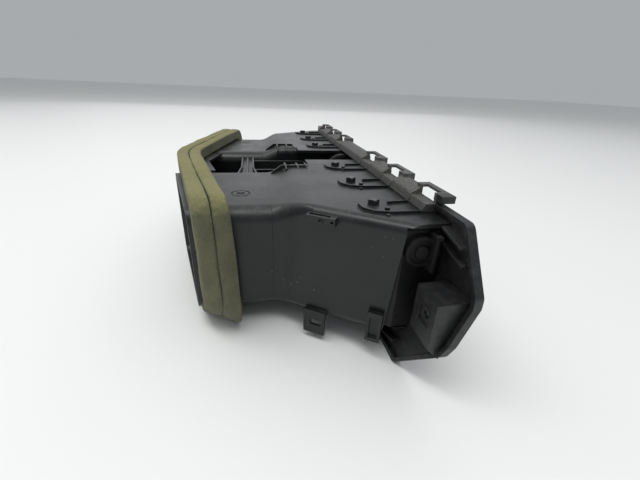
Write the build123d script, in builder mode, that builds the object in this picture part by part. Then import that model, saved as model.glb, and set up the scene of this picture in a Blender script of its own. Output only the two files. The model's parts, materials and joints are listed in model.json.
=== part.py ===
"""Centre dashboard air vent: twin outlets with tilting louvres, shut-off doors and a foam-sealed inlet.

Frame: +X to the right as seen from the front, +Y from the bezel towards the duct inlets, +Z up.
The origin is at the bottom centre of the assembly's bounding box. Millimetres.
Every piece of an outlet is built once for the right side (+X) and mirrored for the left.
"""

import os
from math import atan2, cos, degrees, radians, sin

from build123d import *

os.makedirs("parts", exist_ok=True)

# ---------------------------------------------------------------- driving dimensions
half_width = 169.5
bezel_top = 79.5
bezel_plane_y = -64.65  # the back of the bezel at its top edge
knee_z = 49.0  # above it the bezel is nearly upright, below it leans back
upper_lean = 1.5  # how far the bezel's back comes forward between the top edge and the knee
lower_slope = 0.34
bezel_thickness = 2.5
wall = 2.0

outlet_in, outlet_out = 34.0, 138.5
outlet_low, outlet_high = 20.0, 70.0
outlet_centre_x = (outlet_in + outlet_out) / 2
frame_wall = 2.5
frame_rear = 46.0

housing_in, housing_top, housing_low = 29.0, 75.0, 15.0
housing_round = 5.0
flare_front, flare_rear = (143.5, 19.0), (115.5, 61.0)  # X and depth of the flared wall's ends
cover_split_z = 21.5
neck_in, neck_out = 30.0, 107.5
neck_top, neck_low = 70.3, 12.0
neck_front, neck_corner = 73.5, 8.0
inlet_outer_depth = 113.5  # depth of the inlet rim at the outer wall
inlet_slope = 0.25  # the inlet plane runs back towards the middle

hook_stations = (-120, -80, -40, 40, 80, 120)
ridge_z = 82.6
hook_tab_top = 84.2

hvane_count = 4
hvane_chord, hvane_pivot_r, hvane_depth = 14.0, 1.5, 8.0
vvane_count, vvane_pitch = 5, 17.0
vvane_chord, vvane_depth = 16.0, 34.5
pin_r, running_gap = 1.0, 0.05
crank_reach = 5.0
knob_arm = 17.0

wheel_r, wheel_depth, wheel_z = 13.0, 7.5, 60.0
wheel_in, wheel_out = 10.5, 16.5
rod_in, rod_out = 17.0, 19.0
wheel_crank_r, rod_half = 8.0, 1.6
door_depth, door_z = 82.0, 41.0
door_half_height, door_thickness = 24.0, 2.4

foam_out, foam_top, foam_low = 116.5, 79.0, 0.0
foam_front_depth, foam_strip, foam_slope = 90.7, 9.2, 0.25
foam_peak_half = 14.2  # half the width of the straight stretch at the foam's middle
foam_top_round, foam_low_round = 10.0, 18.0


# ---------------------------------------------------------------- helpers
def y_at(depth):
    """The Y of a station a given depth behind the bezel plane."""
    return bezel_plane_y + depth


def bezel_back(z):
    """Depth of the bezel's back surface at a height."""
    if z >= knee_z:
        return -upper_lean * (bezel_top - z) / (bezel_top - knee_z)
    return -upper_lean + lower_slope * (knee_z - z)


def save(piece, label):
    """Label one finished piece and write it as its own file."""
    piece.label = label
    export_step(piece, f"parts/{label}.step")


def save_pair(piece, label):
    """Write the right-hand piece and its mirror image."""
    save(piece, f"right_{label}")
    save(mirror(piece, about=Plane.YZ), f"left_{label}")


def side_points(points):
    """Depth and height pairs as Y and Z pairs."""
    return [(y_at(depth), z) for depth, z in points]


def plan_points(points):
    """X and depth pairs as X and Y pairs."""
    return [(x, y_at(depth)) for x, depth in points]


def prism_x(points, x_from, x_to):
    """A side profile (depth, height) run along X."""
    with BuildPart() as prism:
        with BuildSketch(Plane.YZ.offset(x_from)):
            Polygon(*side_points(points), align=None)
        extrude(amount=x_to - x_from)
    return prism.part


def prism_z(points, z_from, z_to):
    """A plan profile (x, depth) run upwards."""
    with BuildPart() as prism:
        with BuildSketch(Plane.XY.offset(z_from)):
            Polygon(*plan_points(points), align=None)
        extrude(amount=z_to - z_from)
    return prism.part


def block(x_from, x_to, depth_from, depth_to, z_from, z_to):
    """A plain box between two corners."""
    corners = [(x_from, depth_from), (x_to, depth_from), (x_to, depth_to), (x_from, depth_to)]
    return prism_z(corners, z_from, z_to)


def rod_x(radius, x_from, x_to, depth, z):
    """A round bar along X."""
    with BuildPart() as bar:
        with BuildSketch(Plane.YZ.offset(x_from)):
            with Locations((y_at(depth), z)):
                Circle(radius)
        extrude(amount=x_to - x_from)
    return bar.part


def rod_z(radius, x, depth, z_from, z_to):
    """A round bar along Z."""
    with BuildPart() as bar:
        with BuildSketch(Plane.XY.offset(z_from)):
            with Locations((x, y_at(depth))):
                Circle(radius)
        extrude(amount=z_to - z_from)
    return bar.part


def front_plane(depth):
    """A plane facing forward, with X across and Y up, at a depth."""
    return Plane(origin=(0, y_at(depth), 0), x_dir=(1, 0, 0), z_dir=(0, -1, 0))


# ---------------------------------------------------------------- front bezel
def bezel_slab(back_extra):
    """The leaning panel as a slab across the full width, thicker at the back by back_extra."""
    front = -bezel_thickness
    return prism_x(
        [
            (back_extra, bezel_top),
            (bezel_back(knee_z) + back_extra, knee_z),
            (bezel_back(0) + back_extra, 0),
            (bezel_back(0) + front, 0),
            (bezel_back(knee_z) + front, knee_z),
            (front, bezel_top),
        ],
        -half_width,
        half_width,
    )


def bezel_outline():
    """Front outline of the bezel, with its cut corners rounded."""
    with BuildSketch() as outline:
        half = [(155, bezel_top), (half_width, 54), (half_width, 30), (168, 24), (146, 0)]
        other = [(-x, z) for x, z in reversed(half)]
        Polygon(*half, *other, align=None)
        fillet(outline.vertices(), radius=4)
    return outline.sketch


def outline_prism(outline):
    """A front outline run right through the bezel's depth."""
    with BuildPart() as prism:
        with BuildSketch(front_plane(-20)):
            add(outline)
        extrude(amount=-60)
    return prism.part


def bezel_rim():
    """The thin raised lip round the bezel's back."""
    outline = bezel_outline()
    with BuildPart() as rim:
        add(bezel_slab(1.4))
        add(outline_prism(outline), mode=Mode.INTERSECT)
        add(outline_prism(offset(outline, amount=-2.2)), mode=Mode.SUBTRACT)
    return rim.part


def outlet_prism():
    """The rounded outlet opening of the right side, run through the bezel."""
    with BuildPart() as prism:
        with BuildSketch(front_plane(-20)):
            with Locations((outlet_centre_x, (outlet_low + outlet_high) / 2)):
                RectangleRounded(outlet_out - outlet_in, outlet_high - outlet_low, 3)
        extrude(amount=-60)
    return prism.part


screw_x, screw_z, screw_hole_r = 158.0, 40.0, 2.2
box_in, box_out, box_rear, box_wall = 149.0, 166.0, 13.0, 1.8
box_rear_wall = 2.6


def screw_box():
    """The solid outside of the screw box on the right end of the bezel."""
    profile = [(bezel_back(50) - 1, 50), (box_rear, 49.5), (box_rear, 27), (bezel_back(21) - 1, 21)]
    return prism_x(profile, box_in, box_out)


def screw_box_hollow():
    """The pocket in the screw box, open to the front, with its rear recess and screw hole."""
    inner = box_rear - box_rear_wall
    profile = [(-12, 47.7), (inner, 47.7), (inner, 29), (bezel_back(23.5), 23.5), (-12, 23.5)]
    with BuildPart() as hollow:
        add(prism_x(profile, box_in + box_wall, box_out - box_wall))
        add(block(screw_x - 4, screw_x + 4, box_rear - 1, box_rear + 1, screw_z - 5, screw_z + 5))
        with BuildSketch(front_plane(-12)):
            with Locations((screw_x, screw_z)):
                Circle(screw_hole_r)
        extrude(amount=-40)
    return hollow.part


hook_window_in, hook_window_out = 9.0, 4.0  # how far a window runs to the left and right of its station
hook_sill_z, hook_wall_rear, hook_cavity_low = 79.3, 1.3, 77.8
hook_relief, hook_cavity = 12.0, 10.0
hook_bar_low, hook_bar_rear, hook_post_out = 82.9, -2.2, 8.0


def hook_strip():
    """The grained ridge along the top edge, with six windows and their overhanging tabs."""
    foot = housing_top
    rear_face = [(6.8, foot), (5.9, 80), (1.4, ridge_z), (-1.6, ridge_z), (-2.6, 79), (-2.4, foot)]
    with BuildPart() as strip:
        with BuildSketch(Plane.YZ.offset(-131)) as section:
            Polygon(*side_points(rear_face), align=None)
            nose = section.vertices().filter_by(lambda v: v.Y > foot + 1 and v.X > y_at(0))
            fillet(nose, radius=2.6)
        extrude(amount=262)
        for station in hook_stations:
            left, right = station - hook_window_in, station + hook_window_out
            for x in (station - 10.5, station + 4.5):
                climb = [(0.5, 76), (6.9, 76.3), (6.6, 78), (2.8, 82), (0.5, 82)]
                add(prism_x(climb, x - 0.45, x + 0.45))
            relief = block(station - hook_relief, right, hook_wall_rear, 8, hook_sill_z, 85)
            add(relief, mode=Mode.SUBTRACT)
            add(block(left, right, -6, 8, hook_sill_z, 85), mode=Mode.SUBTRACT)
            # the tab goes on as a bar in front of the window and ends on a thin post
            add(block(station - 16, left, -5, 1.5, 81, hook_tab_top))
            post_end = station + hook_post_out
            add(block(left, post_end, -5, hook_bar_rear, hook_bar_low, hook_tab_top))
            add(block(right, post_end, -5, 1.5, hook_bar_low, hook_tab_top))
            add(block(right, post_end, 0.3, 1.5, 79, hook_tab_top))
    return strip.part


def gusset(x_from, x_to, z_from, z_to, reach):
    """A thin stiffening rib on the bezel's back, highest at its inner end."""
    slope = (z_to - z_from) / (x_to - x_from)
    half = 0.6
    with BuildPart() as rib:
        with BuildSketch(front_plane(reach + 14)):
            Polygon(
                (x_from, z_from - half),
                (x_to, z_from + slope * (x_to - x_from) - half),
                (x_to, z_from + slope * (x_to - x_from) + half),
                (x_from, z_from + half),
                align=None,
            )
        extrude(amount=40)
        add(bezel_slab(reach), mode=Mode.INTERSECT)
    return rib.part


gussets = (
    (143.5, 158, 73.5, 70.5, 4.5),
    (143.5, 160, 66.5, 63.0, 3.5),
    (121, 139, 10.5, 15.8, 5.0),
    (121, 141, 4.5, 9.5, 4.0),
    (120, 144, 1.5, 2.5, 2.5),
)

with BuildPart() as bezel_half_details:
    add(screw_box())
    for gusset_line in gussets:
        add(gusset(*gusset_line))

with BuildPart() as front_bezel:
    add(bezel_slab(0))
    add(outline_prism(bezel_outline()), mode=Mode.INTERSECT)
    add(bezel_rim())
    add(hook_strip())
    for station in hook_stations:
        left, right = station - hook_window_in, station + hook_cavity
        cavity = block(left, right, -6, hook_wall_rear - 1, hook_cavity_low, hook_bar_low)
        add(cavity, mode=Mode.SUBTRACT)
    add(bezel_half_details.part)
    add(mirror(bezel_half_details.part, about=Plane.YZ))
    add(screw_box_hollow(), mode=Mode.SUBTRACT)
    add(mirror(screw_box_hollow(), about=Plane.YZ), mode=Mode.SUBTRACT)
    add(outlet_prism(), mode=Mode.SUBTRACT)
    add(mirror(outlet_prism(), about=Plane.YZ), mode=Mode.SUBTRACT)
    wheel_slot = block(wheel_in - 0.6, wheel_out + 0.6, -12, 8, wheel_z - 11.5, wheel_z + 11.5)
    add(wheel_slot, mode=Mode.SUBTRACT)
    add(mirror(wheel_slot, about=Plane.YZ), mode=Mode.SUBTRACT)
front_bezel.part.label = "front_bezel"
export_step(front_bezel.part, "parts/front_bezel.step")


# ---------------------------------------------------------------- flared housing and its floor
front_gap = 0.4  # between the bezel's back and what stands behind it
flare_run = Vector(flare_rear[0] - flare_front[0], flare_rear[1] - flare_front[1], 0)
flare_origin = (flare_front[0], y_at(flare_front[1]), 0)
flare_outward = (flare_run.Y, -flare_run.X, 0)
flare_plane = Plane(origin=flare_origin, x_dir=flare_run, z_dir=flare_outward)
flare_end_plane = Plane(origin=flare_origin, x_dir=flare_outward, z_dir=flare_run)
throat_start, throat_steps = 55.0, 4


def flare_x(depth):
    """X of the flared wall's outside at a depth."""
    slope = (flare_rear[0] - flare_front[0]) / (flare_rear[1] - flare_front[1])
    return flare_front[0] + slope * (depth - flare_front[1])


def throat_section(share):
    """The throat's depth, X span, Z span and corner, from the flared body (share 0) to the neck (share 1)."""
    ease = share * share * (3 - 2 * share)
    length = neck_front - throat_start
    slope = flare_x(1) - flare_x(0)
    # a cubic that leaves along the flared wall and arrives along the neck
    start_pull = share * (1 - share) ** 2 * length * slope
    outer = flare_x(throat_start) * (1 - ease) + neck_out * ease + start_pull
    return (
        throat_start + share * length,
        housing_in + (neck_in - housing_in) * ease,
        outer,
        housing_low + (neck_low - housing_low) * ease,
        housing_top + (neck_top - housing_top) * ease,
        housing_round + (neck_corner - housing_round) * ease,
    )


def rounded_prism_y(x_from, x_to, z_from, z_to, corner, depth_from, depth_to):
    """A bar along Y with rounded long edges."""
    with BuildPart() as bar:
        with BuildSketch(front_plane(depth_from)):
            with Locations(((x_from + x_to) / 2, (z_from + z_to) / 2)):
                RectangleRounded(x_to - x_from, z_to - z_from, corner)
        extrude(amount=depth_from - depth_to)
    return bar.part


def flare_prism(inset):
    """Everything inside the flared wall, along its slant, with the wall's rounded long edges."""
    low, high = housing_low + inset, housing_top - inset
    reach = 250
    with BuildPart() as prism:
        with BuildSketch(flare_end_plane.offset(-60)):
            with Locations((-inset - reach / 2, -(low + high) / 2)):  # this plane's Y points down
                RectangleRounded(reach, high - low, housing_round - inset)
        extrude(amount=160)
    return prism.part


def throat(inset):
    """The smooth stretch that takes the flared body down to the neck's section."""
    with BuildPart() as stretch:
        for step in range(throat_steps + 1):
            depth, x_from, x_to, z_from, z_to, corner = throat_section(step / throat_steps)
            with BuildSketch(front_plane(depth)):
                with Locations(((x_from + x_to) / 2, (z_from + z_to) / 2)):
                    RectangleRounded(x_to - x_from - 2 * inset, z_to - z_from - 2 * inset, corner - inset)
        loft()
    return stretch.part


def housing_core(inset, overrun):
    """The flared duct body as a solid, shrunk by inset and run past both open ends by overrun."""
    top, low = housing_top - inset, housing_low + inset
    lean = front_gap - overrun
    side = [
        (bezel_back(low) + lean, low),
        (throat_start, low),
        (throat_start, top),
        (bezel_back(top) + lean, top),
        (bezel_back(knee_z) + lean, knee_z),
    ]
    body_end = rounded_prism_y(housing_in + inset, 300, low, top, housing_round - inset, -20, 80)
    corner = neck_corner - inset
    with BuildPart() as core:
        add(prism_x(side, housing_in + inset, flare_front[0] - inset))
        add(body_end, mode=Mode.INTERSECT)
        add(flare_prism(inset), mode=Mode.INTERSECT)
        add(throat(inset))
        neck_x, neck_z = (neck_in + inset, neck_out - inset), (neck_low + inset, neck_top - inset)
        if overrun:
            add(rounded_prism_y(*neck_x, *neck_z, corner, neck_front, neck_front + overrun))
    return core.part


def end_pocket():
    """The space left open beside the louvre frame, ahead of the flared wall's leaning front edge."""
    return prism_x([(-8, 0), (23.4, 0), (19, housing_top - wall), (-8, housing_top - wall)], 130, 160)


rib_width, rib_top = 0.9, housing_top + 1.3
peg_depth, peg_offset, peg_stem_r = 25.5, 3.0, 1.4


def leaf_rib(station):
    """Two thin fins round a peg, open towards the hook window, with a small post and pip."""
    start = 7.3
    near = [(1.5, 33.5), (-4, 33), (-8.5, 29), (-10.5, 22), (-10.5, start)]
    far = [(3, 18.5), (4.1, start)]
    half = rib_width / 2
    with BuildPart() as rib:
        with BuildSketch(Plane.XY.offset(housing_top - 0.2)):
            with BuildLine():
                FilletPolyline(*plan_points([(station + x, depth) for x, depth in near]), radius=2.4)
            trace(line_width=rib_width)
        extrude(amount=rib_top - housing_top + 0.2)
        corners = [(x + side, depth) for side in (-half, half) for x, depth in far]
        outline = [corners[0], corners[1], corners[3], corners[2]]
        outline = [(station + x, depth) for x, depth in outline]
        add(prism_z(outline, housing_top - 0.2, rib_top))
        add(rod_z(1.2, station - 6.8, 22.3, housing_top - 0.2, housing_top + 1.9))
        add(rod_z(0.9, station - 12.5, 24, housing_top - 0.2, housing_top + 0.7))
    return rib.part


rail_x, rail_top, rail_half = 41.3, 76.4, 0.6


def ladder_rail():
    """The rail along the housing's inner top edge, with three ribs that wrap over it."""
    inner, outer = rail_x - rail_half, rail_x + rail_half
    foot = housing_top - 1
    drop = [(62, foot - 1), (63.4, rail_top), (70.4, neck_top + 1), (70.4, neck_top - 0.8), (65, foot - 3)]
    hoop = [(28.2, 69), (28.6, 72.5), (31.5, 75.8), (40.5, rail_top), (42.2, rail_top)]
    hoop += [(47, housing_top), (47, foot), (34, foot), (30.4, 71.5), (30.4, 69)]
    with BuildPart() as rail:
        add(block(inner, outer, 45.5, 63.4, foot, rail_top))
        add(prism_x(drop, inner, outer))
        for depth in (46, 52, 60):
            with BuildSketch(front_plane(depth)):
                Polygon(*hoop, align=None)
            extrude(amount=-1.1)
    return rail.part


def flare_block(along, z, out):
    """A block on the flared wall: its span along the wall, its span in Z and its span outwards."""
    with BuildPart() as piece:
        with BuildSketch(flare_plane.offset(out[0])):
            with Locations(((along[0] + along[1]) / 2, (z[0] + z[1]) / 2)):
                Rectangle(along[1] - along[0], z[1] - z[0])
        extrude(amount=out[1] - out[0])
    return piece.part


with BuildPart() as housing_shell:
    add(housing_core(0, 0))
    add(housing_core(wall, 4), mode=Mode.SUBTRACT)
    add(end_pocket(), mode=Mode.SUBTRACT)

flange_in, flange_rear = 18.0, 44.0

with BuildPart() as housing_half:
    add(housing_shell.part)
    add(block(0, 170, -10, 80, 0, cover_split_z), mode=Mode.SUBTRACT)
    flange_front = bezel_back(housing_top) + front_gap
    add(block(flange_in, housing_in + 4, flange_front, flange_rear, housing_top - wall, housing_top))
    add(ladder_rail())
    # the clip: a bar held off the wall at both ends, with two small holes
    add(flare_block((31.5, 46), (68.5, 72.3), (-1.2, 3.4)))
    add(flare_block((34.6, 45), (66, 76), (0.1, 2.0)), mode=Mode.SUBTRACT)
    add(flare_block((37, 39.5), (69.6, 71.2), (1, 5)), mode=Mode.SUBTRACT)
    add(flare_block((32.4, 33.6), (69.9, 71.0), (1, 5)), mode=Mode.SUBTRACT)

for side_name, half, stations in (
    ("left", mirror(housing_half.part, about=Plane.YZ), hook_stations[:3]),
    ("right", housing_half.part, hook_stations[3:]),
):
    with BuildPart() as housing:
        add(half)
        for station in stations:
            add(leaf_rib(station))
            hole = rod_z(peg_stem_r + running_gap, station + peg_offset, peg_depth, 70, 80)
            add(hole, mode=Mode.SUBTRACT)
    save(housing.part, f"{side_name}_duct_housing")

with BuildPart() as floor_cover:
    add(housing_shell.part)
    add(block(0, 170, -10, 80, cover_split_z, 90), mode=Mode.SUBTRACT)
    # the snap tab hangs from a ledge below the clip
    add(flare_block((34.0, 46.0), (16, 18.5), (-2.5, 2.5)))
    add(flare_block((34.0, 46.0), (4.0, 18.5), (0.9, 2.5)))
    add(flare_block((36, 42), (9.5, 13), (0, 4)), mode=Mode.SUBTRACT)
    # the hollow foot beside the bezel's screw box
    add(flare_block((4.6, 12), (11, 20), (-2.0, 3.0)))
    add(flare_block((4.6, 12), (19, 28), (0.3, 3.0)))
    add(flare_block((6, 10.6), (13, 25), (1.4, 4)), mode=Mode.SUBTRACT)
    add(housing_core(wall - 0.2, 4), mode=Mode.SUBTRACT)
save_pair(floor_cover.part, "duct_floor")


# ---------------------------------------------------------------- louvre frame
hvane_pitch = (outlet_high - outlet_low) / hvane_count
hvane_in, hvane_out = outlet_in + 0.6, outlet_out - 4.0
hvane_heights = [outlet_low + hvane_pitch * (k + 0.5) for k in range(hvane_count)]
vvane_stations = [outlet_centre_x + vvane_pitch * (k - (vvane_count - 1) / 2) for k in range(vvane_count)]
vvane_low, vvane_high = outlet_low + 4.2, outlet_high - 0.4
centre_vane = vvane_count // 2
knob_vane = 2


def hvane_pivot_depth(z):
    """Depth of a horizontal louvre's pivot, which follows the bezel's lean."""
    return hvane_depth + max(0.0, lower_slope * (knee_z - z))


def frame_block(inset, rear):
    """The louvre frame's outside (inset 0), or its bore when inset by the frame wall."""
    low, high = outlet_low - frame_wall + inset, outlet_high + frame_wall - inset
    overrun = 0 if inset == 0 else 3
    front = [(bezel_back(z) + front_gap - overrun, z) for z in (high, knee_z, low)]
    inner = outlet_in - frame_wall + inset
    outer = outlet_out + frame_wall - inset
    return prism_x([*front, (rear + overrun, low), (rear + overrun, high)], inner, outer)


boss_depth, boss_z = 11.3, 62.0
with BuildPart() as louvre_frame:
    frame_inner, frame_outer = outlet_in - frame_wall, outlet_out + frame_wall
    frame_low, frame_high = outlet_low - frame_wall, outlet_high + frame_wall
    add(frame_block(0, frame_rear))
    round_bar = rounded_prism_y(frame_inner, frame_outer, frame_low, frame_high, 2.6, -20, 80)
    add(round_bar, mode=Mode.INTERSECT)
    add(flare_prism(wall + 0.5), mode=Mode.INTERSECT)
    # a ring and its spigot, and the upright rib beside the screw box
    add(rod_x(7.2, frame_outer - 1, frame_outer + 3.4, boss_depth, boss_z))
    add(rod_x(5.8, frame_outer + 2.6, frame_outer + 5, boss_depth, boss_z), mode=Mode.SUBTRACT)
    add(rod_x(3.0, frame_outer, frame_outer + 4.2, boss_depth, boss_z))
    add(block(frame_outer - 1, frame_outer + 8, 6.6, 8.2, 54, 71))
    add(block(frame_outer + 5, frame_outer + 8, 5.2, 8.2, 69.4, 71))
    add(frame_block(frame_wall, frame_rear), mode=Mode.SUBTRACT)
    for height in hvane_heights:
        across = rod_x(hvane_pivot_r + running_gap, 30, 142, hvane_pivot_depth(height), height)
        add(across, mode=Mode.SUBTRACT)
    for station in vvane_stations:
        upright = rod_z(hvane_pivot_r + running_gap, station, vvane_depth, frame_low - 1, frame_high + 1)
        add(upright, mode=Mode.SUBTRACT)
save_pair(louvre_frame.part, "louvre_frame")


# ---------------------------------------------------------------- horizontal louvres
def blade_points(chord, nose):
    """Section of a louvre blade about its pivot: thin edges and a thicker middle."""
    half, edge = chord / 2, 0.55
    return [(-half, -edge), (0, -nose), (half, -edge), (half, edge), (0, nose), (-half, edge)]


def horizontal_blade(z, chord, nose):
    """The long blade of a horizontal louvre with softened front and rear edges."""
    depth = hvane_pivot_depth(z)
    with BuildPart() as blade:
        with BuildSketch(Plane.YZ.offset(hvane_in)) as section:
            outline = [(depth + run, z + rise) for run, rise in blade_points(chord, nose)]
            Polygon(*side_points(outline), align=None)
            tips = section.vertices().group_by(Axis.X)
            fillet(tips[0] + tips[-1], radius=0.5)
        extrude(amount=hvane_out - hvane_in)
    return blade.part


for index, height in enumerate(hvane_heights):
    pivot_depth = hvane_pivot_depth(height)
    with BuildPart() as horizontal_vane:
        add(horizontal_blade(height, hvane_chord, 1.25))
        add(rod_x(hvane_pivot_r, outlet_in - 2.3, hvane_in + 1, pivot_depth, height))
        add(rod_x(hvane_pivot_r, hvane_out - 1, outlet_out + 2.3, pivot_depth, height))
        add(rod_x(2.2, hvane_out - 1, hvane_out + 0.4, pivot_depth, height))
        crank_rear = pivot_depth + crank_reach + 1.6
        add(block(hvane_out - 1.2, hvane_out, pivot_depth, crank_rear, height - 1.5, height + 1.5))
        add(rod_x(pin_r, hvane_out - 1, hvane_out + 3.2, pivot_depth + crank_reach, height))
    save_pair(horizontal_vane.part, f"horizontal_vane_{index + 1}")

with BuildPart() as horizontal_link:
    link_from, link_to = hvane_out + 0.8, hvane_out + 2.8
    pins = [(hvane_pivot_depth(z) + crank_reach, z) for z in hvane_heights]
    for (depth_a, z_a), (depth_b, z_b) in zip(pins, pins[1:]):
        half = 1.1
        add(
            prism_x(
                [(depth_a - half, z_a), (depth_a + half, z_a), (depth_b + half, z_b), (depth_b - half, z_b)],
                link_from,
                link_to,
            )
        )
    for depth, z in pins:
        add(rod_x(2.1, link_from, link_to, depth, z))
    for depth, z in pins:
        add(rod_x(pin_r + running_gap, link_from - 1, link_to + 1, depth, z), mode=Mode.SUBTRACT)
save_pair(horizontal_link.part, "horizontal_link")


# ---------------------------------------------------------------- vertical louvres
def vertical_blade(x):
    """The upright blade of a vertical louvre with softened front and rear edges."""
    with BuildPart() as blade:
        with BuildSketch(Plane.XY.offset(vvane_low)) as section:
            shape = blade_points(vvane_chord, 1.25)
            Polygon(*plan_points([(x + side, vvane_depth + run) for run, side in shape]), align=None)
            tips = section.vertices().group_by(Axis.Y)
            fillet(tips[0] + tips[-1], radius=0.5)
        extrude(amount=vvane_high - vvane_low)
    return blade.part


yoke_z = hvane_heights[knob_vane]
yoke_reach, yoke_thickness = 7.1, 1.4

for index, station in enumerate(vvane_stations):
    with BuildPart() as vertical_vane:
        add(vertical_blade(station))
        add(rod_z(hvane_pivot_r, station, vvane_depth, vvane_high - 1, outlet_high + 2.3))
        add(rod_z(hvane_pivot_r, station, vvane_depth, outlet_low - 2.3, vvane_low + 1))
        add(rod_z(pin_r, station, vvane_depth + crank_reach, outlet_low + 0.4, vvane_low + 1))
        if index == centre_vane:
            tip = vvane_depth - knob_arm
            for arm_z in (yoke_z + yoke_reach, yoke_z - yoke_reach - yoke_thickness):
                add(block(station - 1, station + 1, tip - 1, vvane_depth - 2, arm_z, arm_z + yoke_thickness))
            add(rod_z(1.2, station, tip, yoke_z - yoke_reach - 0.5, yoke_z + yoke_reach + 0.5))
    save_pair(vertical_vane.part, f"vertical_vane_{index + 1}")

with BuildPart() as vertical_link:
    link_depth = vvane_depth + crank_reach
    link_low, link_high = outlet_low + 0.9, vvane_low - 0.6
    first, last = vvane_stations[0], vvane_stations[-1]
    add(block(first, last, link_depth - 1.1, link_depth + 1.1, link_low, link_high))
    for station in vvane_stations:
        add(rod_z(2.1, station, link_depth, link_low, link_high))
    for station in vvane_stations:
        hole = rod_z(pin_r + running_gap, station, link_depth, link_low - 1, link_high + 1)
        add(hole, mode=Mode.SUBTRACT)
save_pair(vertical_link.part, "vertical_link")


# ---------------------------------------------------------------- vane knob
knob_half, tine_gap, tine_thickness, tine_half = 9.0, 1.65, 1.5, 1.8
knob_rear = hvane_depth + hvane_chord / 2 + 1.0

with BuildPart() as vane_knob:
    knob_profile = [(-4.6, 2.2), (-3.4, 3.6), (knob_rear - 3, 3.2), (knob_rear, 2.2)]
    below = [(depth, -z) for depth, z in reversed(knob_profile)]
    body_points = [(depth, yoke_z + z) for depth, z in knob_profile + below]
    add(prism_x(body_points, outlet_centre_x - knob_half, outlet_centre_x + knob_half))
    vertical_edges = vane_knob.edges().filter_by(Axis.Z).filter_by(lambda e: e.center().Y < y_at(-4))
    fillet(vertical_edges, radius=1.6)
    for step in range(5):
        groove_x = outlet_centre_x + 3.2 * (step - 2)
        add(block(groove_x - 0.5, groove_x + 0.5, -6, -4.1, yoke_z - 5, yoke_z + 5), mode=Mode.SUBTRACT)
    channel = [(hvane_depth + d, yoke_z + h) for d, h in blade_points(hvane_chord + 0.5, 1.4)]
    slot = [(d, yoke_z + (h - yoke_z) * 1.25) for d, h in channel]
    add(prism_x(slot, 60, 120), mode=Mode.SUBTRACT)
    for side in (-1, 1):
        tine_sides = (tine_gap, tine_gap + tine_thickness)
        x_from, x_to = sorted(outlet_centre_x + side * reach for reach in tine_sides)
        tine_rear = hvane_depth + 13.4
        add(block(x_from, x_to, knob_rear - 1, tine_rear, yoke_z - tine_half, yoke_z + tine_half))
save_pair(vane_knob.part, "vane_knob")


# ---------------------------------------------------------------- inlet ducts, web and bridge
def neck_prism(inset, front):
    """A rounded-rectangle duct section run back past the inlet plane."""
    with BuildPart() as prism:
        with BuildSketch(front_plane(front)):
            with Locations(((neck_in + neck_out) / 2, (neck_top + neck_low) / 2)):
                width, height = neck_out - neck_in - 2 * inset, neck_top - neck_low - 2 * inset
                RectangleRounded(width, height, neck_corner - inset)
        extrude(amount=front - 140)
    return prism.part


def behind_inlet(setback):
    """Everything behind the slanted inlet plane, set back by a distance."""
    middle = inlet_outer_depth + inlet_slope * neck_out + setback
    outer = inlet_outer_depth + inlet_slope * (neck_out - 120) + setback
    return prism_z([(0, middle), (120, outer), (120, 170), (0, 170)], -5, 90)


with BuildPart() as inlet_duct:
    add(neck_prism(0, neck_front))
    add(neck_prism(wall, neck_front - 1), mode=Mode.SUBTRACT)
    for inner_face, inward in ((neck_in + wall, 1), (neck_out - wall, -1)):
        x_from, x_to = sorted((inner_face - 0.5 * inward, inner_face + 1.6 * inward))
        add(rod_x(5, x_from, x_to, door_depth, door_z))
    add(behind_inlet(0), mode=Mode.SUBTRACT)
    shaft_hole = rod_x(2.5 + running_gap, 20, neck_in + 5, door_depth, door_z)
    add(shaft_hole, mode=Mode.SUBTRACT)
    blind_hole = rod_x(2.5 + running_gap, neck_out - 6, neck_out - 1, door_depth, door_z)
    add(blind_hole, mode=Mode.SUBTRACT)
    with BuildSketch(Plane.XY.offset(neck_top - 0.4)):
        with Locations((81.9, y_at(89.0))):
            Circle(5.2)
            Circle(4.4, mode=Mode.SUBTRACT)
            Circle(2.2)
            Circle(1.5, mode=Mode.SUBTRACT)
            Rectangle(1.0, 3.4)
    extrude(amount=1, mode=Mode.SUBTRACT)
save_pair(inlet_duct.part, "inlet_duct")

web_thickness = 2.0


def web_chevron(front, rear, z_from, z_to):
    """A plate bent in plan like the inlet, across the gap between the two ducts."""
    edge = neck_in - 0.2
    rise = inlet_slope * edge
    points = [(-edge, front - rise), (0, front), (edge, front - rise)]
    points += [(edge, rear - rise), (0, rear), (-edge, rear - rise)]
    return prism_z(points, z_from, z_to)


with BuildPart() as centre_web:
    middle = inlet_outer_depth + inlet_slope * neck_out - 6
    add(web_chevron(middle - web_thickness, middle, neck_low + 1.5, neck_top - 1.5))
    for z_from in (neck_low + 0.2, neck_top - 2.2):
        add(web_chevron(middle - 20, middle, z_from, z_from + web_thickness))
centre_web.part.label = "centre_web"
export_step(centre_web.part, "parts/centre_web.step")

bridge_depth, bridge_half = 86.0, 5.0
deck_low, deck_top, bridge_rib_top = 62.0, 65.0, 67.4
channel_x, channel_wall, channel_front, channel_low = 14.5, 1.4, 26.0, 56.0

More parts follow.
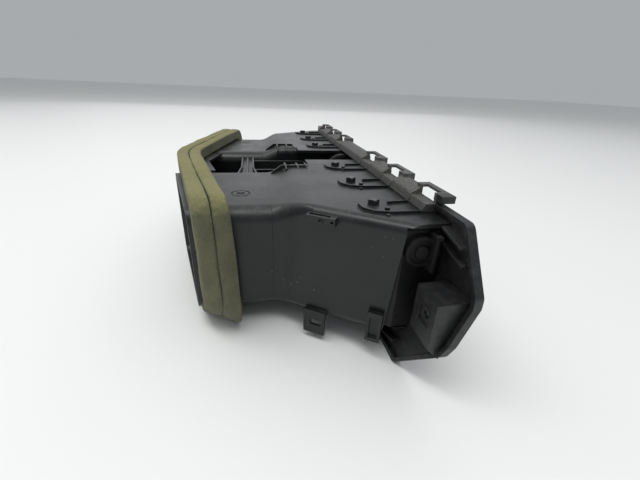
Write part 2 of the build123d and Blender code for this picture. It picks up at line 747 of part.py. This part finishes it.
with BuildPart() as centre_bridge:
    reach = neck_in + 4  # the ends run into the ducts' rounded shoulders, and are cut back to them
    front, rear = bridge_depth - bridge_half, bridge_depth + bridge_half
    add(block(-reach, reach, front, rear, deck_low, deck_top))
    for rib_offset, spread in ((-4.2, -3.0), (0, 0), (4.2, 3.0)):
        end = bridge_depth + rib_offset
        start = end + spread
        rib = [(-reach, start - 0.6), (-8, end - 0.6), (reach, end - 0.6)]
        rib += [(reach, end + 0.6), (-8, end + 0.6), (-reach, start + 0.6)]
        add(prism_z(rib, deck_top - 1, bridge_rib_top))
    with BuildSketch(front_plane(rear)):
        with Locations((0, deck_low)):
            Ellipse(22, 2.2)
    extrude(amount=2 * bridge_half + 1, mode=Mode.SUBTRACT)
    # the channel that runs forward between the ducts
    half = channel_x + channel_wall / 2
    add(block(-half, half, channel_front, front + 1, channel_low, deck_top + 2))
    bore = block(-half + channel_wall, half - channel_wall, 20, front, channel_low + 1.4, 80)
    add(bore, mode=Mode.SUBTRACT)
    add(neck_prism(-0.05, 70), mode=Mode.SUBTRACT)
    add(mirror(neck_prism(-0.05, 70), about=Plane.YZ), mode=Mode.SUBTRACT)
centre_bridge.part.label = "centre_bridge"
export_step(centre_bridge.part, "parts/centre_bridge.step")


# ---------------------------------------------------------------- foam seal round the inlets
def foam_ring(start, width):
    """One foam strip glued round both inlets, bent like the inlet plane in plan."""
    gap = 0.2
    inner_width, inner_height = 2 * (neck_out + gap), neck_top - neck_low + 2 * gap
    middle = start + foam_slope * (foam_out - foam_peak_half)
    with BuildPart() as ring:
        with BuildSketch(front_plane(60)) as section:
            with Locations((0, (foam_top + foam_low) / 2)):
                Rectangle(2 * foam_out, foam_top - foam_low)
            fillet(section.vertices().group_by(Axis.Y)[0], radius=foam_low_round)
            fillet(section.vertices().group_by(Axis.Y)[-1], radius=foam_top_round)
            with Locations((0, (neck_top + neck_low) / 2)):
                RectangleRounded(inner_width, inner_height, neck_corner + gap, mode=Mode.SUBTRACT)
        extrude(amount=-90)
        front = [(-foam_out, start), (-foam_peak_half, middle), (foam_peak_half, middle), (foam_out, start)]
        rear = [(x, depth + width) for x, depth in reversed(front)]
        add(prism_z(front + rear, -1, 90), mode=Mode.INTERSECT)
    return ring.part


save(foam_ring(foam_front_depth, foam_strip), "foam_seal_front")
save(foam_ring(foam_front_depth + foam_strip + 0.1, foam_strip), "foam_seal_rear")


# ---------------------------------------------------------------- shut-off door
door_in, door_out = neck_in + wall + 2.4, neck_out - wall - 2.4
shaft_r = 2.5
line_angle = degrees(atan2(door_z - wheel_z, door_depth - wheel_depth))
crank_angle = radians(line_angle + 130)
crank_depth, crank_z = wheel_crank_r * cos(crank_angle), wheel_crank_r * sin(crank_angle)

with BuildPart() as damper_door:
    with BuildSketch(Plane.XY.offset(door_z - door_thickness / 2)):
        with Locations(((door_in + door_out) / 2, y_at(door_depth))):
            RectangleRounded(door_out - door_in, 2 * door_half_height, 7)
    extrude(amount=door_thickness)
    add(rod_x(shaft_r, rod_out + 1.0, door_in + 1, door_depth, door_z))
    add(rod_x(shaft_r, door_out - 1, neck_out - 1.4, door_depth, door_z))
    add(rod_x(3.4, door_in, door_out, door_depth, door_z))
    crank_points = [(door_depth, door_z), (door_depth + crank_depth, door_z + crank_z)]
    for depth, z in crank_points:
        add(rod_x(3.2 if z == door_z else 2.4, rod_out + 1.0, rod_out + 3.4, depth, z))
    nx, nz = -sin(crank_angle) * 2.2, cos(crank_angle) * 2.2
    (d_a, z_a), (d_b, z_b) = crank_points
    arm = [(d_a - nx, z_a - nz), (d_b - nx, z_b - nz), (d_b + nx, z_b + nz), (d_a + nx, z_a + nz)]
    add(prism_x(arm, rod_out + 1.0, rod_out + 3.4))
    add(rod_x(1.5, rod_in - 0.3, rod_out + 1.5, *crank_points[1]))
save_pair(damper_door.part, "damper_door")

with BuildPart() as damper_seal:
    lip = 1.5
    with BuildSketch(Plane.XY.offset(door_z - door_thickness / 2 + 0.3)):
        width, height = door_out - door_in, 2 * door_half_height
        with Locations(((door_in + door_out) / 2, y_at(door_depth))):
            RectangleRounded(width + 2 * lip, height + 2 * lip, 7 + lip)
            RectangleRounded(width + 0.02, height + 0.02, 7, mode=Mode.SUBTRACT)
            Rectangle(100, 13, mode=Mode.SUBTRACT)
    extrude(amount=door_thickness - 0.6)
save_pair(damper_seal.part, "damper_seal")


# ---------------------------------------------------------------- thumbwheel, link rod and carrier
with BuildPart() as thumbwheel:
    add(rod_x(wheel_r, wheel_in, wheel_out, wheel_depth, wheel_z))
    add(rod_x(wheel_r - 3, wheel_in - 1, wheel_in + 1.6, wheel_depth, wheel_z), mode=Mode.SUBTRACT)
    add(rod_x(3.4, wheel_in, wheel_out, wheel_depth, wheel_z))
    add(rod_x(2.0, wheel_in - 2.6, rod_out + 2.8, wheel_depth, wheel_z))
    add(rod_x(1.5, wheel_out - 1, rod_out + 0.3, wheel_depth + crank_depth, wheel_z + crank_z))
    with BuildSketch(Plane.YZ.offset(wheel_in - 1)):
        with Locations((y_at(wheel_depth), wheel_z)):
            with PolarLocations(wheel_r + 0.25, 36):
                Circle(0.6)
    extrude(amount=wheel_out - wheel_in + 2, mode=Mode.SUBTRACT)
save_pair(thumbwheel.part, "thumbwheel")

with BuildPart() as damper_rod:
    rod_ends = [
        (wheel_depth + crank_depth, wheel_z + crank_z),
        (door_depth + crank_depth, door_z + crank_z),
    ]
    (d_a, z_a), (d_b, z_b) = rod_ends
    bar = [(d_a, z_a - rod_half), (d_b, z_b - rod_half), (d_b, z_b + rod_half), (d_a, z_a + rod_half)]
    add(prism_x(bar, rod_in, rod_out))
    for depth, z in rod_ends:
        add(rod_x(2.8, rod_in, rod_out, depth, z))
    for depth, z in rod_ends:
        add(rod_x(1.5 + running_gap, rod_in - 1, rod_out + 1, depth, z), mode=Mode.SUBTRACT)
save_pair(damper_rod.part, "damper_rod")

carrier_rear, carrier_half = wheel_depth + 5, rod_out + 2.7
cheek_spans = ((wheel_in - 2.5, wheel_in - 0.6), (rod_out + 0.7, rod_out + 2.7))
with BuildPart() as wheel_carrier:
    for side in (-1, 1):
        for cheek in cheek_spans:
            x_from, x_to = sorted(side * x for x in cheek)
            add(block(x_from, x_to, bezel_back(50) + 1.8, carrier_rear, 52, 66))
            add(block(x_from, x_to, 3, carrier_rear, 43, 53))
    add(block(-carrier_half, carrier_half, bezel_back(43) + 3.2, carrier_rear, 42.5, 45))
    add(rod_x(2.0 + running_gap, -25, 25, wheel_depth, wheel_z), mode=Mode.SUBTRACT)
wheel_carrier.part.label = "wheel_carrier"
export_step(wheel_carrier.part, "parts/wheel_carrier.step")


# ---------------------------------------------------------------- retaining pegs
with BuildPart() as retaining_pegs:
    for station in hook_stations:
        x = station + peg_offset
        add(rod_z(peg_stem_r, x, peg_depth, housing_top - wall, housing_top + 0.5))
        with BuildSketch(Plane.XY.offset(housing_top)):
            with Locations((x, y_at(peg_depth))):
                Rectangle(5.4, 1.5)
                Rectangle(1.5, 5.4)
                Circle(1.6)
        extrude(amount=2.4)
retaining_pegs.part.label = "retaining_pegs"
export_step(retaining_pegs.part, "parts/retaining_pegs.step")
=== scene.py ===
"""Looks for the centre dashboard air vent: materials, rebuilt foam, floor, light and camera."""

import json
import math

import bmesh
import bpy
from mathutils import Matrix, Vector, noise


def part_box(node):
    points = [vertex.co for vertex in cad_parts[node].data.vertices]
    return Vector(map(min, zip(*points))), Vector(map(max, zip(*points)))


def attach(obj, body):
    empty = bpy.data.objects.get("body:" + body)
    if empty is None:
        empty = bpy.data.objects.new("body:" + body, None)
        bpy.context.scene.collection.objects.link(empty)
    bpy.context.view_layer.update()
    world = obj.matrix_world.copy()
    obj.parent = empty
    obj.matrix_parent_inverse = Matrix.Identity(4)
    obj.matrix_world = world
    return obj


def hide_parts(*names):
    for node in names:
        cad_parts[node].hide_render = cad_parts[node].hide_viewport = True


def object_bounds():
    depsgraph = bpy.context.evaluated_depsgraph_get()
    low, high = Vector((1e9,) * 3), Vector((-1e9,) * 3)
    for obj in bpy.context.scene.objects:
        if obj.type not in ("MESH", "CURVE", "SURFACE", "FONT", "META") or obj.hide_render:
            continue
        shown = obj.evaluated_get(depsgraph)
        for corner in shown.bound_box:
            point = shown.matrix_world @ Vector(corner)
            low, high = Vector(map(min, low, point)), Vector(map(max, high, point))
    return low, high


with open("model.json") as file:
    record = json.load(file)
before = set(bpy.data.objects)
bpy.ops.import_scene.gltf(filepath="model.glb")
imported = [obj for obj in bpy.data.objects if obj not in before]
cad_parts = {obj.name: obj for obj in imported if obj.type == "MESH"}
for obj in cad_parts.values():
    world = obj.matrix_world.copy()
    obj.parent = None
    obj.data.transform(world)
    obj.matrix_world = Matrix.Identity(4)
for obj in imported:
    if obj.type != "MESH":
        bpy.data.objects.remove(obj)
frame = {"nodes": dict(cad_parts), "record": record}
cad_low, cad_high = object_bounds()


# ---------------------------------------------------------------- node helpers
class Shader:
    """One material's node tree, with short calls for the nodes used here."""

    def __init__(self, name):
        self.material = bpy.data.materials.new(name)
        self.material.use_nodes = True
        self.nodes = self.material.node_tree.nodes
        self.links = self.material.node_tree.links
        self.surface = self.nodes["Principled BSDF"]
        self.place = self.nodes.new("ShaderNodeTexCoord").outputs["Object"]

    def link(self, source, target):
        self.links.new(source, target)

    def noise(self, scale, detail=3.0, roughness=0.55, stretch=None):
        """Noise in the object's own metres; stretch scales the three axes first."""
        node = self.nodes.new("ShaderNodeTexNoise")
        node.inputs["Scale"].default_value = scale
        node.inputs["Detail"].default_value = detail
        node.inputs["Roughness"].default_value = roughness
        self.link(self.stretched(stretch), node.inputs["Vector"])
        return node.outputs["Fac"]

    def stretched(self, stretch):
        if stretch is None:
            return self.place
        mapping = self.nodes.new("ShaderNodeMapping")
        mapping.inputs["Scale"].default_value = stretch
        self.link(self.place, mapping.inputs["Vector"])
        return mapping.outputs["Vector"]

    def cells(self, scale):
        """Distance to the nearest cell centre; small values are specks or pores."""
        node = self.nodes.new("ShaderNodeTexVoronoi")
        node.inputs["Scale"].default_value = scale
        self.link(self.place, node.inputs["Vector"])
        return node.outputs["Distance"]

    def ramp(self, factor, low, high, low_value=0.0, high_value=1.0):
        """Maps factor from low..high to low_value..high_value, clamped."""
        node = self.nodes.new("ShaderNodeMapRange")
        node.inputs["From Min"].default_value = low
        node.inputs["From Max"].default_value = high
        node.inputs["To Min"].default_value = low_value
        node.inputs["To Max"].default_value = high_value
        self.link(factor, node.inputs["Value"])
        return node.outputs["Result"]

    def maths(self, operation, first, second):
        node = self.nodes.new("ShaderNodeMath")
        node.operation = operation
        for socket, value in zip(node.inputs, (first, second)):
            if isinstance(value, (int, float)):
                socket.default_value = value
            else:
                self.link(value, socket)
        return node.outputs["Value"]

    def mix(self, factor, first, second):
        """Mixes two colours; each is a colour tuple or an output."""
        node = self.nodes.new("ShaderNodeMix")
        node.data_type = "RGBA"
        self.link(factor, node.inputs["Factor"])
        for socket, value in ((node.inputs[6], first), (node.inputs[7], second)):
            if isinstance(value, tuple):
                socket.default_value = (*value, 1.0)
            else:
                self.link(value, socket)
        return node.outputs[2]

    def axis(self, name):
        node = self.nodes.new("ShaderNodeSeparateXYZ")
        self.link(self.place, node.inputs["Vector"])
        return node.outputs[name]

    def facing_up(self):
        """1 on a face that looks straight up, 0 on a wall."""
        geometry = self.nodes.new("ShaderNodeNewGeometry")
        node = self.nodes.new("ShaderNodeSeparateXYZ")
        self.link(geometry.outputs["Normal"], node.inputs["Vector"])
        return self.ramp(node.outputs["Z"], 0.2, 0.95)

    def bump(self, height, strength, distance, after=None):
        node = self.nodes.new("ShaderNodeBump")
        node.inputs["Strength"].default_value = strength
        node.inputs["Distance"].default_value = distance
        self.link(height, node.inputs["Height"])
        if after is not None:
            self.link(after, node.inputs["Normal"])
        return node.outputs["Normal"]

    def rounded_edges(self, radius):
        node = self.nodes.new("ShaderNodeBevel")
        node.samples = 6
        node.inputs["Radius"].default_value = radius
        return node.outputs["Normal"]


dust_film_colour = (0.16, 0.155, 0.145)
dust_speck_colour = (0.42, 0.41, 0.38)
fine_grain_height = 0.00012


def plastic(name, colour, roughness, grain=0.25, grain_scale=1500.0, edge=0.00035, dust=0.35, specular=0.5):
    """Moulded black plastic: fine grain, cloudy gloss, settled dust and a few bright specks."""
    shader = Shader(name)
    cloud = shader.noise(38, 4, 0.6)
    fine = shader.noise(420, 3, 0.6)
    dark = tuple(c * 0.72 for c in colour)
    light = tuple(c * 1.35 + 0.002 for c in colour)
    body = shader.mix(shader.ramp(cloud, 0.3, 0.72), dark, light)
    film = shader.maths("MULTIPLY", shader.ramp(fine, 0.42, 0.78), shader.ramp(cloud, 0.35, 0.75))
    settled = shader.maths("MULTIPLY", shader.maths("MULTIPLY", film, shader.facing_up()), dust)
    dusty = shader.mix(settled, body, dust_film_colour)
    speck = shader.ramp(shader.cells(260), 0.085, 0.05)
    patch = shader.ramp(shader.noise(22, 2, 0.5), 0.57, 0.64)
    specks = shader.maths("MULTIPLY", shader.maths("MULTIPLY", speck, patch), dust * 1.6)
    shader.link(shader.mix(specks, dusty, dust_speck_colour), shader.surface.inputs["Base Color"])
    mixed = shader.maths("ADD", cloud, shader.maths("MULTIPLY", fine, 0.35))
    rough = shader.ramp(mixed, 0.45, 0.95, roughness - 0.07, roughness + 0.12)
    dulled = shader.maths("ADD", rough, shader.maths("MULTIPLY", settled, 0.4))
    shader.link(dulled, shader.surface.inputs["Roughness"])
    shader.surface.inputs["Specular IOR Level"].default_value = specular
    waves = shader.bump(shader.noise(26, 2, 0.5), 0.12, 0.0012, shader.rounded_edges(edge))
    grained = shader.bump(shader.noise(grain_scale, 2, 0.6), grain, fine_grain_height, waves)
    shader.link(grained, shader.surface.inputs["Normal"])
    return shader.material


def bezel_plastic():
    """Satin black bezel; the hook ridge along its top has a coarse spark-eroded grain and is greyer."""
    ridge_foot, ridge_end = 0.0752, 0.1312  # height where the ridge starts, and half its length
    shader = Shader("bezel_grained_black")
    along = shader.maths("ABSOLUTE", shader.axis("X"), 0.0)
    above = shader.ramp(shader.axis("Z"), ridge_foot, ridge_foot + 0.0005)
    ridge = shader.maths("MULTIPLY", above, shader.ramp(along, ridge_end, ridge_end - 0.0004))
    cloud = shader.noise(30, 4, 0.6)
    coarse = shader.noise(1150, 3, 0.75)
    plain = shader.mix(shader.ramp(cloud, 0.3, 0.72), (0.007, 0.0073, 0.008), (0.014, 0.0143, 0.0155))
    worn = shader.mix(shader.ramp(coarse, 0.32, 0.66), (0.020, 0.020, 0.019), (0.125, 0.123, 0.116))
    body = shader.mix(ridge, plain, worn)
    film = shader.maths("MULTIPLY", shader.ramp(shader.noise(350, 3, 0.6), 0.45, 0.8), 0.12)
    shader.link(shader.mix(film, body, (0.2, 0.19, 0.17)), shader.surface.inputs["Base Color"])
    rough = shader.ramp(cloud, 0.3, 0.75, 0.36, 0.5)
    duller = shader.maths("ADD", rough, shader.maths("MULTIPLY", ridge, 0.2))
    shader.link(duller, shader.surface.inputs["Roughness"])
    edge = shader.rounded_edges(0.0004)
    grain = shader.bump(shader.maths("MULTIPLY", coarse, ridge), 0.9, 0.0005, edge)
    fine = shader.bump(shader.noise(1900, 2, 0.6), 0.25, fine_grain_height, grain)
    shader.link(fine, shader.surface.inputs["Normal"])
    return shader.material


def foam_material(name, pale, base, streak):
    """Open-cell foam: fibrous mottling, darker rubbed streaks, pores darkened with painted shade, and a
    paler, yellower top and edges painted as light falling from above.
    """
    shader = Shader(name)
    fibres = shader.noise(900, 4, 0.75, stretch=(1.0, 1.0, 0.35))
    mottle = shader.noise(110, 5, 0.7)
    wide = shader.noise(24, 3, 0.6)
    scuff = shader.noise(14, 4, 0.65, stretch=(1.0, 1.6, 0.45))
    pores = shader.cells(1300)
    body = shader.mix(shader.ramp(mottle, 0.3, 0.72), streak, base)
    body = shader.mix(shader.ramp(wide, 0.38, 0.7), body, pale)
    body = shader.mix(shader.ramp(fibres, 0.35, 0.7, 0.0, 0.55), body, pale)
    body = shader.mix(shader.ramp(scuff, 0.5, 0.68, 0.0, 0.6), body, streak)
    # painted light: faces that look up are painted paler and yellower, as if lit from above
    painted_top_light = tuple(c * gain for c, gain in zip(pale, (1.25, 1.2, 0.85)))
    top_light_mask = shader.maths("MULTIPLY", shader.facing_up(), shader.ramp(mottle, 0.2, 0.8, 0.5, 0.9))
    body = shader.mix(top_light_mask, body, painted_top_light)
    # painted shade: the pores are darkened as if shadowed inside
    pore_shade = shader.ramp(pores, 0.32, 0.12, 0.0, 0.5)
    body = shader.mix(pore_shade, body, tuple(c * 0.45 for c in streak))
    shader.link(body, shader.surface.inputs["Base Color"])
    shader.surface.inputs["Roughness"].default_value = 0.95
    shader.surface.inputs["Specular IOR Level"].default_value = 0.12
    shader.surface.inputs["Sheen Weight"].default_value = 0.12
    shader.surface.inputs["Sheen Roughness"].default_value = 0.6
    rough = shader.bump(shader.maths("ADD", fibres, shader.maths("MULTIPLY", mottle, 0.8)), 0.9, 0.0009)
    shader.link(shader.bump(pores, 0.6, 0.0004, rough), shader.surface.inputs["Normal"])
    return shader.material


slot_materials = {
    "duct_plastic": plastic("duct_polypropylene", (0.0085, 0.009, 0.0095), 0.33, specular=0.42),
    "bezel_plastic": bezel_plastic(),
    "louvre_plastic": plastic(
        "louvre_satin", (0.006, 0.006, 0.0066), 0.46, grain=0.35, dust=0.2, specular=0.35
    ),
    "control_plastic": plastic(
        "control_grained", (0.016, 0.016, 0.017), 0.55, grain=0.6, grain_scale=1100, dust=0.12
    ),
    "mechanism_plastic": plastic("mechanism_acetal", (0.022, 0.022, 0.024), 0.3, grain=0.1, dust=0.2),
    "seal_foam": foam_material(
        "seal_foam", (0.215, 0.212, 0.118), (0.135, 0.135, 0.078), (0.062, 0.066, 0.046)
    ),
    "door_foam": foam_material("door_foam", (0.07, 0.07, 0.068), (0.045, 0.045, 0.044), (0.02, 0.02, 0.02)),
}
for part in frame["record"]["subparts"]:
    node = frame["nodes"][part["node"]]
    node.data.materials.clear()
    node.data.materials.append(slot_materials[part["material_slot"]])

# ---------------------------------------------------------------- foam gasket round the inlets
# All lengths are in metres. The gasket's boxes and the duct's box give its size and place.
gasket_low, gasket_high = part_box("foam_seal_front")
rear_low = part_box("foam_seal_rear")[0]
duct_low, duct_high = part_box("right_inlet_duct")
gasket_half = gasket_high.x
gasket_slope, gasket_peak = 0.25, 0.0142
corner_top, corner_low, duct_corner = 0.010, 0.018, 0.0083
crumple_room, duct_gap = 0.0006, 0.0004
loop_steps = (26, 150)  # points along a corner's arc and along a long side
lean_slope, lean_start = 0.045, 0.032  # the gasket leans back above this height
lift_height, lift_start_x, lift_run, lift_top_z = 0.016, 0.088, 0.028, 0.034  # its lifted lower corners
strip_width = gasket_high.y - gasket_low.y - gasket_slope * (gasket_half - gasket_peak)


def rounded_loop(half_width, low, high, top_radius, low_radius, arc_steps, side_steps):
    """Points (x, z) round a rounded rectangle; two loops with the same step counts match point by point."""
    centres = (
        (half_width - top_radius, high - top_radius, top_radius, 0),
        (-half_width + top_radius, high - top_radius, top_radius, 90),
        (-half_width + low_radius, low + low_radius, low_radius, 180),
        (half_width - low_radius, low + low_radius, low_radius, 270),
    )
    points = []
    for index, (cx, cz, radius, start) in enumerate(centres):
        for step in range(arc_steps + 1):
            angle = math.radians(start + 90 * step / arc_steps)
            points.append((cx + radius * math.cos(angle), cz + radius * math.sin(angle)))
        nx, nz, next_radius, next_start = centres[(index + 1) % 4]
        angle = math.radians(next_start)
        target = (nx + next_radius * math.cos(angle), nz + next_radius * math.sin(angle))
        steps = side_steps if index % 2 == 0 else side_steps // 3
        last = points[-1]
        for step in range(1, steps):
            share = step / steps
            points.append((last[0] + (target[0] - last[0]) * share, last[1] + (target[1] - last[1]) * share))
    return points


def strip_section(steps, corner):
    """A closed section (across from the duct, along the depth), both 0..1, with slightly eased corners."""
    corners = ((0, 0), (1, 0), (1, 1), (0, 1))
    section = []
    for (u0, v0), (u1, v1) in zip(corners, corners[1:] + corners[:1]):
        for step in range(steps):
            share = step / steps
            share = corner + (1 - 2 * corner) * share if step else 0.0
            section.append((u0 + (u1 - u0) * share, v0 + (v1 - v0) * share))
    softened = []
    count = len(section)
    for index, (u, v) in enumerate(section):
        if index % steps == 0:
            before, after = section[index - 1], section[(index + 1) % count]
            u, v = u * 0.6 + (before[0] + after[0]) * 0.2, v * 0.6 + (before[1] + after[1]) * 0.2
        softened.append((u, v))
    return softened


def crumple(place, seed):
    """How far the cut foam stands off its nominal surface, in metres."""
    x, y, z = place
    broad = noise.noise(Vector((x * 22 + seed, y * 30, z * 30)))
    dent = noise.noise(Vector((x * 75, y * 90 + seed, z * 75)))
    cellular = noise.noise(Vector((x * 420, y * 420, z * 420 + seed)))
    return 0.0008 * broad + 0.00045 * dent + 0.00022 * cellular


def seam_swell(x_share, along):
    """The strips stand a little proud of their nominal size, most at the far top corner."""
    far = max(0.0, x_share - 0.25)
    return 0.0022 * far * (0.6 + 0.4 * along)


def foam_strip(name, low_box, node, seed):
    """One cut foam strip wrapped round both inlets, following the bent inlet plane."""
    outer_half, outer_top = gasket_half - crumple_room, gasket_high.z - crumple_room
    inner_half, inner_low, inner_top = duct_high.x + duct_gap, duct_low.z - duct_gap, duct_high.z + duct_gap
    outer = rounded_loop(outer_half, gasket_low.z, outer_top, corner_top, corner_low, *loop_steps)
    inner = rounded_loop(inner_half, inner_low, inner_top, duct_corner, duct_corner, *loop_steps)
    section = strip_section(10, 0.022)
    mesh = bmesh.new()
    rings = []
    for (ox, oz), (ix, iz) in zip(outer, inner):
        ring = []
        x_share = ox / gasket_half
        for across, along in section:
            crown = (0.0006 * math.sin(math.pi * along) + seam_swell(x_share, along)) * across
            x = ix + (ox - ix) * across
            z = iz + (oz - iz) * across
            reach = math.hypot(ox - ix, oz - iz)
            x += crown * (ox - ix) / reach
            z += crown * (oz - iz) / reach
            bend = gasket_slope * (gasket_half - math.hypot(x, gasket_peak * 0.85))
            lean = lean_slope * (z - lean_start) if z > lean_start else 0.0
            share = (low_box.y - gasket_low.y + along * strip_width) / (2 * strip_width)
            outwards = max(0.0, (abs(ox) - lift_start_x) / lift_run)
            corner_lift = outwards * max(0.0, 1 - oz / lift_top_z) * across
            z += lift_height * share * corner_lift
            y = low_box.y + bend + lean * (1 - share) + along * strip_width
            shove = crumple((x, y, z), seed)
            if across > 0.02:
                x += shove * (ox - ix) / reach
                z += shove * (oz - iz) / reach
            y += shove * 0.6 * (2 * along - 1)
            ring.append(mesh.verts.new((x, y, max(z, gasket_low.z))))
        rings.append(ring)
    count = len(section)
    for ring, following in zip(rings, rings[1:] + rings[:1]):
        for index in range(count):
            after = (index + 1) % count
            mesh.faces.new((ring[index], ring[after], following[after], following[index]))
    bmesh.ops.recalc_face_normals(mesh, faces=mesh.faces)
    data = bpy.data.meshes.new(name)
    mesh.to_mesh(data)
    mesh.free()
    data.shade_smooth()
    data.materials.append(slot_materials["seal_foam"])
    strip = bpy.data.objects.new(name, data)
    bpy.context.collection.objects.link(strip)
    smooth = strip.modifiers.new("cut_surface", "SUBSURF")
    smooth.levels = smooth.render_levels = 1
    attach(strip, "vent_body")
    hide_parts(node)
    return strip


foam_strip("gasket_strip_front", gasket_low, "foam_seal_front", 3.1)
foam_strip("gasket_strip_rear", rear_low, "foam_seal_rear", 8.7)


# ---------------------------------------------------------------- foam edging of the shut-off doors
def door_edging(side):
    """Two soft C-shaped lips round one door, broken where the door's shaft passes."""
    low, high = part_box(f"{side}_damper_seal")
    middle = (low + high) / 2
    half_x, half_y = (high.x - low.x) / 2 - 0.0008, (high.y - low.y) / 2 - 0.0008
    height, depth_half, corner, shaft_gap = (high.z - low.z) / 2, 0.0008, 0.0077, 0.0066
    arc_steps, straight_steps, ring_steps = 9, 44, 12
    mesh = bmesh.new()
    for end in (-1, 1):
        path = [(-half_x, shaft_gap), (-half_x, half_y - corner)]
        for step in range(1, arc_steps + 1):
            angle = math.radians(180 - 90 * step / arc_steps)
            x, y = corner * math.cos(angle), corner * math.sin(angle)
            path.append((-half_x + corner + x, half_y - corner + y))
        for step in range(1, straight_steps):
            path.append((-half_x + corner + 2 * (half_x - corner) * step / straight_steps, half_y))
        for step in range(arc_steps + 1):
            angle = math.radians(90 - 90 * step / arc_steps)
            x, y = corner * math.cos(angle), corner * math.sin(angle)
            path.append((half_x - corner + x, half_y - corner + y))
        path.append((half_x, shaft_gap))
        rings = []
        for index, (px, py) in enumerate(path):
            ahead, behind = path[min(index + 1, len(path) - 1)], path[max(index - 1, 0)]
            run = Vector((ahead[0] - behind[0], ahead[1] - behind[1])).normalized()
            ring = []
            for step in range(ring_steps):
                angle = math.tau * step / ring_steps
                across = depth_half * math.copysign(abs(math.cos(angle)) ** 0.6, math.cos(angle))
                rise = height * math.copysign(abs(math.sin(angle)) ** 0.6, math.sin(angle))
                x, y = middle.x + px - run.y * across, middle.y + end * (py + run.x * across)
                across_shift = 0.00012 * noise.noise(Vector((x * 300, y * 300, rise * 900 + end)))
                ring.append(mesh.verts.new((x, y + across_shift, middle.z + rise + across_shift)))
            rings.append(ring)
        for ring, following in zip(rings, rings[1:]):
            for step in range(ring_steps):
                after = (step + 1) % ring_steps
                mesh.faces.new((ring[step], ring[after], following[after], following[step]))
        mesh.faces.new(rings[0])
        mesh.faces.new(rings[-1])
    bmesh.ops.recalc_face_normals(mesh, faces=mesh.faces)
    data = bpy.data.meshes.new(f"{side}_door_edging")
    mesh.to_mesh(data)
    mesh.free()
    data.shade_smooth()
    data.materials.append(slot_materials["door_foam"])
    edging = bpy.data.objects.new(f"{side}_door_edging", data)
    bpy.context.collection.objects.link(edging)
    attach(edging, f"{side}_damper_door")
    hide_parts(f"{side}_damper_seal")


for side in ("left", "right"):
    door_edging(side)

# ---------------------------------------------------------------- floor, light and camera
floor_shader = Shader("pale_floor")
floor_shader.surface.inputs["Base Color"].default_value = (0.84, 0.845, 0.83, 1)
floor_shader.surface.inputs["Roughness"].default_value = 0.55
bpy.ops.mesh.primitive_plane_add(size=12, location=(0, 0, cad_low.z))
floor = bpy.context.object
floor.name = "floor"
floor.data.materials.append(floor_shader.material)


def soft_light(name, place, target, width, height, power):
    """A large rectangular light aimed at a point."""
    data = bpy.data.lights.new(name, "AREA")
    data.shape = "RECTANGLE"
    data.size, data.size_y, data.energy = width, height, power
    lamp = bpy.data.objects.new(name, data)
    lamp.location = place
    lamp.rotation_euler = (Vector(target) - Vector(place)).to_track_quat("-Z", "Y").to_euler()
    bpy.context.collection.objects.link(lamp)


soft_light("ceiling", (0.25, 0.1, 1.3), (0, 0, 0), 2.6, 2.6, 14)
soft_light("tube", (-0.25, 0.25, 1.15), (0, 0, 0), 1.5, 0.28, 6.5)
soft_light("far_wall", (1.4, -0.1, 0.55), (0, 0, 0.05), 1.8, 0.9, 2)
world = bpy.data.worlds.new("studio")
bpy.context.scene.world = world
world.use_nodes = True
world.node_tree.nodes["Background"].inputs["Color"].default_value = (0.93, 0.96, 1.0, 1)
world.node_tree.nodes["Background"].inputs["Strength"].default_value = 0.42
bpy.context.scene.view_settings.view_transform = "Standard"

# behind the vent, near its left end and just above it
camera_data = bpy.data.cameras.new("camera")
camera_data.sensor_width = 36
camera_data.lens = 18.22
camera = bpy.data.objects.new("camera", camera_data)
bpy.context.collection.objects.link(camera)
right = Vector((-0.1902, -0.9808, 0.0430))
forward = Vector((0.8803, -0.1897, -0.4350)).normalized()
right = (right - forward * right.dot(forward)).normalized()
up = right.cross(forward)
basis = Matrix((right, up, -forward)).transposed().to_4x4()
basis.translation = (-0.2574, 0.01655, 0.1263)
camera.matrix_world = basis
camera_data.clip_start = 0.01
bpy.context.scene.camera = camera
